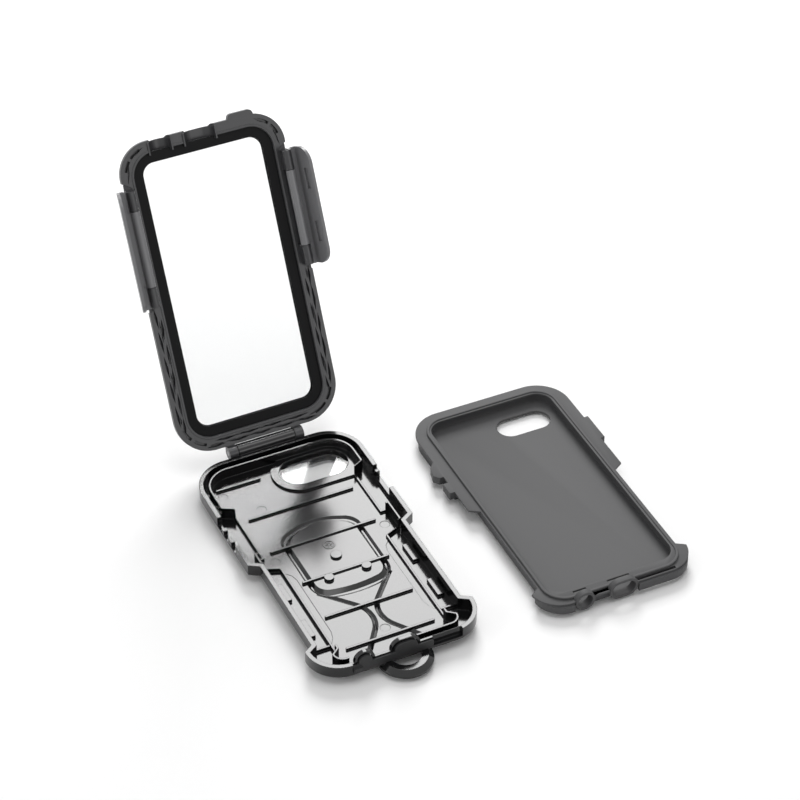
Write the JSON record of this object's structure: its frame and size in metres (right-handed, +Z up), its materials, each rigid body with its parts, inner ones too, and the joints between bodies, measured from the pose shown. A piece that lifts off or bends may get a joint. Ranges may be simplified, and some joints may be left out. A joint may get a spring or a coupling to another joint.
{
  "type": "waterproof phone case",
  "caption": "Waterproof phone case: hard tray with rear mount socket, hinged window lid, side snap latches, and a soft liner lying beside it.",
  "frame": {"origin": "on the ground under the middle of the rear mount socket of the tray", "axes": "+X across the tray to the side where the liner lies, +Y to the main hinge, +Z up"},
  "size_m": [0.2008, 0.2414, 0.1537],
  "materials": {
    "tray_plastic": "black, glossy",
    "lid_plastic": "dark grey, satin",
    "plug_rubber": "black, matte",
    "clamp_plastic": "black",
    "clear_film": "clear touch film",
    "clear_pane": "clear pane",
    "liner_silicone": "grey, matte",
    "pin_steel": "plain"
  },
  "bodies": {
    "tray": {"base_tray": "tray_plastic", "camera_window": "clear_pane", "outlet_plug": "plug_rubber", "silicone_liner": "liner_silicone"},
    "lid": {"lid_frame": "lid_plastic", "window_film": "clear_film", "film_clamp": "clamp_plastic", "hinge_pin": "pin_steel", "latch_pin_right": "pin_steel", "latch_pin_left": "pin_steel"},
    "latch_right": {"latch_right": "lid_plastic"},
    "latch_left": {"latch_left": "lid_plastic"}
  },
  "joints": [
    {"name": "lid_hinge", "type": "hinge", "parent": "tray", "child": "lid", "pos_m": [0, 0.081, 0.011], "axis": [1, 0, 0], "range_deg": [0, 116]},
    {"name": "latch_right_hinge", "type": "hinge", "parent": "lid", "child": "latch_right", "pos_m": [0.0396, 0.12515, 0.10996], "axis": [0, -0.4384, -0.8988], "range_deg": [0, 103]},
    {"name": "latch_left_hinge", "type": "hinge", "parent": "lid", "child": "latch_left", "pos_m": [-0.0396, 0.12515, 0.10996], "axis": [0, 0.4384, 0.8988], "range_deg": [0, 103]}
  ]
}
